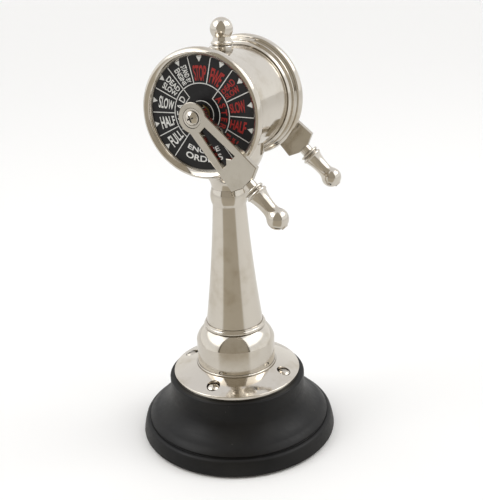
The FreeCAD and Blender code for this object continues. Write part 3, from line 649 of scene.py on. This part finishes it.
def ease_ring(shape: bmesh.types.BMesh, out: float, up: float, rounding: float) -> None:
    """Round the edge loop that runs round a turned piece at one station.

    Args:
        shape: The turned piece, upright.
        out: The loop's distance from the axis.
        up: The loop's height.
        rounding: The radius to round it by.
    """

    def on_loop(vertex: bmesh.types.BMVert) -> bool:
        """Whether a vertex lies on the loop."""
        return abs(vertex.co.z - up) < 1e-6 and abs(vertex.co.xy.length - out) < 1e-6

    edges = [edge for edge in shape.edges if all(on_loop(end) for end in edge.verts)]
    bmesh.ops.bevel(
        shape,
        geom=edges,
        offset=rounding,
        offset_type="OFFSET",
        affect="EDGES",
        segments=5,
        profile=0.5,
        material=-1,
        clamp_overlap=True,
    )


# --------------------------------------------------------------- sub-assemblies


@dataclass
class Plinth:
    """Felt, turned wooden base, base plate and its four screws."""

    felt_rim: float = 0.45 * MM
    bore: float = 3.2 * MM
    recess: float = 13.0 * MM
    recess_depth: float = 14.8 * MM
    foot_ease: tuple[float, float] = (0.8 * MM, 0.9 * MM)
    rim_top: float = 10.8 * MM
    rim_lean: float = 2.0 * MM
    groove: float = 65.3 * MM
    groove_lip: float = 0.4 * MM
    groove_rise: tuple[float, float, float] = (1.6 * MM, 2.2 * MM, 3.0 * MM)
    shoulder: float = 66.1 * MM
    flare: tuple[float, float] = (61.7 * MM, 17.8 * MM)
    cove: tuple[float, float] = (50.8 * MM, 27.6 * MM)
    collar: float = 49.4 * MM
    collar_foot: float = 34.0 * MM
    collar_ease: float = 1.3 * MM

    def build(self) -> None:
        """Make the felt and the turned wood, and finish the rest."""
        self.felt()
        self.wood()
        dress(["base_plate", "base_plate_screws"], NICKEL)

    def felt(self) -> None:
        """A felt disc with a soft cut edge, glued in under the wood."""
        low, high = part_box("felt_pad")
        radius = high.x
        section = Section(0.0, low.z)
        section.line(radius - self.felt_rim, low.z, self.felt_rim / 2)
        section.line(radius, (low.z + high.z) / 2, self.felt_rim / 2)
        section.line(radius - self.felt_rim, high.z)
        section.line(0.0, high.z)
        finished_piece("felt_disc", section.spun(), FELT, "stand", ["felt_pad"])

    def wood(self) -> None:
        """The turned wood: a rim, a fine groove, a round shoulder, a broad flare, a cove and a collar."""
        low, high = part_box("wooden_base")
        rim, foot, top = high.x, low.z, high.z
        section = Section(self.bore, foot + self.recess_depth)
        section.line(self.recess, foot + self.recess_depth)
        section.line(self.recess, foot)
        section.line(rim - self.foot_ease[0], foot)
        section.curve(rim, foot + self.foot_ease[1], -0.3, 4)
        section.curve(rim - self.rim_lean, self.rim_top, -0.05)
        lip, bed, far_side = (self.rim_top + rise for rise in self.groove_rise)
        section.curve(self.groove + self.groove_lip, lip, -0.4, 8)
        section.line(self.groove, bed)
        section.line(self.shoulder, far_side)
        section.curve(*self.flare, -0.1)
        section.curve(*self.cove, 0.14, 16)
        section.curve(self.collar, self.collar_foot, 0.14)
        section.line(self.collar, top - self.collar_ease)
        section.curve(self.collar - self.collar_ease, top, -0.35, 6)
        section.line(self.bore, top)
        finished_piece("turned_base", section.spun(), WOOD_PAINT, "stand", ["wooden_base"])


@dataclass
class Pedestal:
    """Foot, bead ring, tapered column, collar and the neck that carries the head."""

    def build(self) -> None:
        """Finish the castings and the rod inside them."""
        dress(["pedestal_foot", "column_base_ring", "head_neck"], NICKEL)
        dress(["pedestal_column", "column_collar"], COLUMN_NICKEL)
        dress(["tie_rod", "tie_rod_nut", "tie_rod_washer", "neck_screws"], STEEL)


class Reading(Enum):
    """Which way words run on a dial."""

    AROUND = "clockwise, tops outwards"
    INWARD = "from the rim to the hub"
    OUTWARD = "from the hub to the rim"
    BELOW = "round the lower rim, tops inwards"


@dataclass(frozen=True)
class Legend:
    """One line of words on a dial, and the patch that it is drawn to fill."""

    words: str
    ink: Ink
    reading: Reading
    bearing: float
    spread: float
    inner: float
    outer: float
    spacing: float = 1.0


@dataclass
class Dial:
    """The printed face of one side of the drum.

    Bearings are degrees clockwise from the top, and radii are metres from the hub.
    """

    side: str
    thickness: float = 0.06 * MM
    sunk: float = 0.02 * MM
    pitch: float = 26.0
    orders: int = 5
    rim: float = 35.4 * MM
    ring: float = 19.2 * MM
    inner_ring: float = 12.6 * MM
    hub_ring: float = 8.3 * MM
    line_width: float = 0.55 * MM
    pointer_width: float = 3.6 * MM
    pointer_height: float = 3.2 * MM
    weight: float = 0.022

    def build(self) -> None:
        """Finish the plate and lay the lines, the pointers and the words on it."""
        dress([f"{self.side}_dial"], ENAMEL)
        self.add_ink("lines", self.line_work(), Ink.WHITE)
        self.add_ink("pointers", self.pointers(), Ink.WHITE)
        self.add_ink("white_words", self.lettering(Ink.WHITE), Ink.WHITE)
        self.add_ink("red_words", self.lettering(Ink.RED), Ink.RED)

    @property
    def last_edge(self) -> float:
        """The bearing where the last order ends and the lower panel begins."""
        return (self.orders + 0.5) * self.pitch

    def placing(self) -> Matrix:
        """The move from the dial's own plane, X right and Y up, to where it faces out."""
        low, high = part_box(f"{self.side}_dial")
        centre = (low + high) / 2
        upright = Matrix.Rotation(math.radians(90), 4, "X")
        if self.side == "front":
            return Matrix.Translation((centre.x, low.y, centre.z)) @ upright
        about = Matrix.Rotation(math.radians(180), 4, "Z")
        return Matrix.Translation((centre.x, high.y, centre.z)) @ about @ upright

    def add_ink(self, what: str, shape: bmesh.types.BMesh, ink: Ink) -> None:
        """Place one layer of markings on the dial.

        Args:
            what: What the markings are, for the name of the piece.
            shape: The markings, flat in the dial's own plane.
            ink: What they are printed with.
        """
        bmesh.ops.recalc_face_normals(shape, faces=shape.faces)
        bmesh.ops.transform(shape, matrix=self.placing(), verts=shape.verts)
        piece = finished_piece(f"{self.side}_dial_{what}", shape, ink.value, "stand")
        for face in piece.data.polygons:
            face.use_smooth = False

    def line_work(self) -> bmesh.types.BMesh:
        """The lines between the orders and the rings round the hub."""
        shape = bmesh.new()
        for number in range(self.orders + 1):
            bearing = (number + 0.5) * self.pitch
            runs_in = number in (1, self.orders)
            start = self.inner_ring if runs_in else self.ring
            for side in (-1, 1):
                self.radial_line(shape, side * bearing, start)
        self.arc_line(shape, self.ring, -self.last_edge, self.last_edge)
        first_edge = 1.5 * self.pitch
        self.arc_line(shape, self.inner_ring, first_edge, self.last_edge)
        self.arc_line(shape, self.inner_ring, -self.last_edge, -first_edge)
        self.arc_line(shape, self.hub_ring, 0.0, 360.0)
        return shape

    def radial_line(self, shape: bmesh.types.BMesh, bearing: float, start: float) -> None:
        """Draw one straight line out to the rim.

        Args:
            shape: The mesh that it is added to.
            bearing: Where it runs.
            start: Its distance from the hub where it begins.
        """
        length = self.rim - start
        turn = Matrix.Rotation(-math.radians(bearing), 4, "Z")
        out = Matrix.Translation((0.0, start + length / 2, self.thickness / 2 - self.sunk))
        size = Matrix.Diagonal((self.line_width, length, self.thickness, 1.0))
        bmesh.ops.create_cube(shape, size=1.0, matrix=turn @ out @ size)

    def arc_line(self, shape: bmesh.types.BMesh, radius: float, start: float, end: float) -> None:
        """Draw one line round the hub.

        Args:
            shape: The mesh that it is added to.
            radius: Its distance from the hub.
            start: The bearing where it begins.
            end: The bearing where it ends, further clockwise.
        """
        turn = Matrix.Rotation(-math.radians(start), 4, "Z")
        lift = self.thickness / 2 - self.sunk
        place = turn @ Matrix.Translation((0.0, radius, lift))
        upright = Matrix.Rotation(math.radians(90), 4, "Y")
        size = Matrix.Diagonal((self.thickness, self.line_width, 1.0, 1.0))
        made = bmesh.ops.create_grid(
            shape, x_segments=1, y_segments=1, size=0.5, matrix=place @ upright @ size
        )
        corners = made["verts"]
        edges = {edge for corner in corners for edge in corner.link_edges}
        faces = {face for corner in corners for face in corner.link_faces}
        whole = end - start >= 360.0
        bmesh.ops.spin(
            shape,
            geom=[*corners, *edges, *faces],
            cent=(0.0, 0.0, 0.0),
            axis=(0.0, 0.0, 1.0),
            angle=-math.radians(end - start),
            steps=max(8, round((end - start) / 3.0)),
            use_merge=whole,
        )

    def pointers(self) -> bmesh.types.BMesh:
        """The small triangles at the rim that the levers' pointers stand against."""
        shape = bmesh.new()
        for number in range(-self.orders, self.orders + 1):
            turn = Matrix.Rotation(-math.radians(number * self.pitch), 4, "Z")
            middle = self.rim - self.pointer_height / 3
            out = Matrix.Translation((0.0, middle, self.thickness / 2 - self.sunk))
            aim = Matrix.Rotation(math.radians(180), 4, "Z")
            size = Matrix.Diagonal((self.pointer_width / math.sqrt(3), self.pointer_height / 1.5, 1, 1))
            bmesh.ops.create_cone(
                shape,
                cap_ends=True,
                segments=3,
                radius1=1.0,
                radius2=1.0,
                depth=self.thickness,
                matrix=turn @ out @ aim @ size,
            )
        return shape

    def legends(self) -> list[Legend]:
        """Every line of words on the dial."""
        ring_inner, ring_outer = 13.7 * MM, 17.9 * MM
        tall = (20.6 * MM, 30.2 * MM)
        found = [
            Legend("STOP", Ink.RED, Reading.AROUND, 0.0, 19.0, *tall),
            Legend("FWE", Ink.RED, Reading.AROUND, self.pitch, 18.5, *tall),
            Legend("AHEAD", Ink.WHITE, Reading.AROUND, -92.0, 82.0, ring_inner, ring_outer, 1.5),
            Legend("ASTERN", Ink.RED, Reading.AROUND, 93.0, 96.0, ring_inner, ring_outer, 1.5),
            Legend("ENGINE", Ink.WHITE, Reading.BELOW, 180.0, 56.0, 21.9 * MM, 25.2 * MM),
            Legend("ORDERS", Ink.WHITE, Reading.BELOW, 180.0, 53.0, 26.9 * MM, 31.0 * MM),
        ]
        found += self.order(("STAND BY", "ENGINE"), -1)
        for number, words in enumerate((("DEAD", "SLOW"), ("SLOW",), ("HALF",), ("FULL",)), 2):
            found += self.order(words, -number)
            found += self.order(words, number)
        return found

    def order(self, lines: tuple[str, ...], number: int) -> list[Legend]:
        """The words of one order, which run along the middle of its sector.

        Args:
            lines: The words, the upper line first.
            number: Which sector, counted clockwise from the top.

        Returns:
            One legend for each line.
        """
        ahead = number < 0
        reading = Reading.INWARD if ahead else Reading.OUTWARD
        ink = Ink.WHITE if ahead else Ink.RED
        single = len(lines) == 1
        room = 15.0 if single else 19.5
        inner, outer = (20.4 * MM, 31.2 * MM) if single else (20.6 * MM, 31.6 * MM)
        share = room / len(lines)
        found = []
        for line, words in enumerate(lines):
            offset = ((len(lines) - 1) / 2 - line) * share
            bearing = number * self.pitch + (offset if ahead else -offset)
            height = share if single else 0.82 * share
            found.append(Legend(words, ink, reading, bearing, height, inner, outer))
        return found

    def lettering(self, ink: Ink) -> bmesh.types.BMesh:
        """All the words in one ink."""
        shape = bmesh.new()
        for legend in self.legends():
            if legend.ink is ink:
                shape.from_mesh(self.word_mesh(legend))
        bmesh.ops.remove_doubles(shape, verts=shape.verts, dist=1e-8)
        return shape

    def word_mesh(self, legend: Legend) -> bpy.types.Mesh:
        """Draw one line of words and bend it into its patch.

        Args:
            legend: The words and where they go.

        Returns:
            Their mesh in the dial's own plane.
        """
        curve = bpy.data.curves.new("words", "FONT")
        curve.body = legend.words
        curve.space_character = legend.spacing
        curve.offset = self.weight
        curve.resolution_u = 6
        curve.extrude = 0.5
        words = bpy.data.objects.new("words", curve)
        bpy.context.scene.collection.objects.link(words)
        bpy.context.view_layer.update()
        mesh = bpy.data.meshes.new_from_object(words.evaluated_get(bpy.context.evaluated_depsgraph_get()))
        bpy.data.objects.remove(words)
        low = Vector(min(vertex.co[axis] for vertex in mesh.vertices) for axis in range(3))
        high = Vector(max(vertex.co[axis] for vertex in mesh.vertices) for axis in range(3))
        span = high - low
        for vertex in mesh.vertices:
            along = (vertex.co.x - low.x) / span.x
            height = (vertex.co.y - low.y) / span.y
            lift = (vertex.co.z - low.z) / span.z * self.thickness - self.sunk
            across, up = self.bend(legend, along, height)
            vertex.co = (across, up, lift)
        return mesh

    @staticmethod
    def bend(legend: Legend, along: float, height: float) -> tuple[float, float]:
        """Where a point of a line of words lands on the dial.

        Args:
            legend: The words and where they go.
            along: How far along the line it is, from nought to one.
            height: How far up the letters it is, from nought to one.

        Returns:
            The point, right of and above the hub.
        """
        depth = legend.outer - legend.inner
        if legend.reading is Reading.BELOW:
            bearing = legend.bearing - (along - 0.5) * legend.spread
            radius = legend.outer - height * depth
        elif legend.reading is Reading.AROUND:
            bearing = legend.bearing + (along - 0.5) * legend.spread
            radius = legend.inner + height * depth
        elif legend.reading is Reading.INWARD:
            bearing = legend.bearing + (height - 0.5) * legend.spread
            radius = legend.outer - along * depth
        else:
            bearing = legend.bearing - (height - 0.5) * legend.spread
            radius = legend.inner + along * depth
        turn = math.radians(bearing)
        return radius * math.sin(turn), radius * math.cos(turn)


@dataclass
class Head:
    """Drum, bezels, end plates, dials and the finial that holds the gong."""

    def build(self) -> None:
        """Finish the drum and print both dials."""
        dress(["drum_shell", "front_bezel", "rear_bezel"], TURNED_NICKEL)
        dress(["finial", "finial_saddle"], NICKEL)
        dress(["front_end_plate", "rear_end_plate"], BRASS)
        dress(["front_bush", "rear_bush"], BLACKENED)
        for side in ("front", "rear"):
            Dial(side).build()


@dataclass
class Levers:
    """The two levers on their shaft, and what turns with them."""

    def build(self) -> None:
        """Finish the levers and the shaft's fittings."""
        for side in ("front", "rear"):
            dress([f"{side}_lever"], FLAT_NICKEL)
            dress([f"{side}_grip", f"{side}_spacer"], NICKEL)
            dress([f"{side}_lever_washer", f"{side}_lever_screw"], SCREW_NICKEL)
        dress(["lever_shaft", "trip_wheel_set_screw"], STEEL)
        dress(["friction_washer", "trip_wheel", "stop_collar"], BRASS)


@dataclass
class Bellwork:
    """Gong, hammer and the stop, inside the drum."""

    def build(self) -> None:
        """Finish the pieces in brass and steel."""
        dress(["gong", "gong_nut", "gong_spacer"], BRASS)
        dress(["hammer_arm", "hammer_head", "hammer_bracket"], BRASS)
        dress(["hammer_pivot_pin", "hammer_spring", "stop_pin"], STEEL)


# ---------------------------------------------------------------------- studio


@dataclass
class Studio:
    """Pale paper floor, a plain sky of soft light, softboxes and the camera."""

    azimuth: float = VIEW_AZIMUTH
    elevation: float = math.radians(21.03)
    roll: float = math.radians(-2.38)
    distance: float = 0.58363
    aim_height: float = 0.13948
    aim_right: float = 0.00693
    lens: float = 60.0
    sensor: float = 36.0
    floor_size: float = 60.0
    box_height: float = math.radians(42.0)
    box_distance: float = 1.2
    box_size: float = 0.5
    box_watts: float = 2.0
    walls: tuple = shade(0.97, 0.97, 0.96)
    ceiling: tuple = shade(0.84, 0.84, 0.86)
    windows: tuple = shade(1.70, 1.70, 1.70)
    curtain: tuple = shade(0.16, 0.14, 0.11)
    dim_end: tuple = shade(0.40, 0.365, 0.305)
    backdrop: tuple = shade(0.96, 0.96, 0.96)

    def build(self) -> None:
        """Set the floor, the sky, the softboxes and the camera."""
        bpy.context.scene.view_settings.view_transform = "Standard"
        self.floor()
        self.sky()
        self.softbox("left_softbox", -75.0)
        self.softbox("right_softbox", 95.0)
        self.camera()

    def towards(self, azimuth: float, elevation: float) -> Vector:
        """The direction that lies at an azimuth and an elevation, seen from the object."""
        level = math.cos(elevation)
        return Vector((math.sin(azimuth) * level, -math.cos(azimuth) * level, math.sin(elevation)))

    def floor(self) -> None:
        """A sheet of paper that reaches past the horizon."""
        shape = bmesh.new()
        bmesh.ops.create_grid(shape, x_segments=8, y_segments=8, size=self.floor_size / 2)
        mesh = bpy.data.meshes.new("paper_floor")
        shape.to_mesh(mesh)
        shape.free()
        floor = bpy.data.objects.new("paper_floor", mesh)
        mesh.materials.append(PAPER.material())
        bpy.context.scene.collection.objects.link(floor)

    def sky(self) -> None:
        """Even soft light, dimmer and warmer in the part of the room behind the camera."""
        world = bpy.data.worlds.new("studio_room")
        bpy.context.scene.world = world
        world.use_nodes = True
        board = Board(world.node_tree)
        way = board.wire(board.add("ShaderNodeTexCoord"), "Generated")
        parts = board.add("ShaderNodeSeparateXYZ", None, {"Vector": way})
        up = board.wire(parts, "Z")
        facing = board.facing(way, DIM_AZIMUTH)
        dim = facing.within(DIM_EDGE - 0.01, DIM_EDGE + 0.01)
        beside = facing.within(-0.60, -0.45) * (up.within(0.40, 0.50) - up.within(0.88, 0.93))
        edge = facing.within(DIM_EDGE - 0.07, DIM_EDGE - 0.05)
        colour = board.mixed(up.within(0.0, 0.8), self.walls, self.ceiling)
        colour = board.mixed(beside, colour, self.windows)
        colour = board.mixed(edge, colour, self.curtain)
        colour = board.mixed(dim, colour, self.dim_end)
        room = board.add("ShaderNodeBackground", None, {"Color": colour, "Strength": 1.0})
        plain = board.add(
            "ShaderNodeBackground", None, {"Color": self.backdrop, "Strength": 1.0}
        )
        seen = board.wire(board.add("ShaderNodeLightPath"), "Is Camera Ray")
        both = board.add("ShaderNodeMixShader", None, {"Fac": seen})
        board.tree.links.new(room.outputs["Background"], both.inputs[1])
        board.tree.links.new(plain.outputs["Background"], both.inputs[2])
        out = board.add("ShaderNodeOutputWorld")
        board.tree.links.new(both.outputs["Shader"], out.inputs["Surface"])

    def softbox(self, name: str, swing: float) -> None:
        """Hang one softbox, turned to the object.

        Args:
            name: Its name.
            swing: Degrees round from the camera, to the right when positive.
        """
        light = bpy.data.lights.new(name, "AREA")
        light.shape = "SQUARE"
        light.size = self.box_size
        light.energy = self.box_watts
        box = bpy.data.objects.new(name, light)
        way = self.towards(self.azimuth + math.radians(swing), self.box_height)
        box.location = Vector((0.0, 0.0, self.aim_height)) + way * self.box_distance
        box.rotation_euler = way.to_track_quat("Z", "Y").to_euler()
        box.visible_camera = False
        bpy.context.scene.collection.objects.link(box)

    def camera(self) -> None:
        """Stand the camera at its place, with a slight roll."""
        back = self.towards(self.azimuth, self.elevation)
        right = Vector((math.cos(self.azimuth), math.sin(self.azimuth), 0.0))
        up = back.cross(right)
        rolled_right = right * math.cos(self.roll) + up * math.sin(self.roll)
        rolled_up = up * math.cos(self.roll) - right * math.sin(self.roll)
        target = Vector((0.0, 0.0, self.aim_height)) + right * self.aim_right
        data = bpy.data.cameras.new("studio_camera")
        data.lens = self.lens
        data.sensor_width = self.sensor
        data.sensor_fit = "AUTO"
        data.clip_start, data.clip_end = 0.01, 200.0
        camera = bpy.data.objects.new("studio_camera", data)
        turn = Matrix((rolled_right, rolled_up, back)).transposed().to_4x4()
        camera.matrix_world = Matrix.Translation(target + back * self.distance) @ turn
        bpy.context.scene.collection.objects.link(camera)
        bpy.context.scene.camera = camera


def main() -> None:
    """Build every sub-assembly in order, then the studio."""
    logging.basicConfig(level=logging.INFO, format="%(message)s")
    for assembly in (Plinth(), Pedestal(), Head(), Levers(), Bellwork(), Studio()):
        LOG.info("-- %s", type(assembly).__name__)
        assembly.build()


if __name__ == "__main__":
    main()
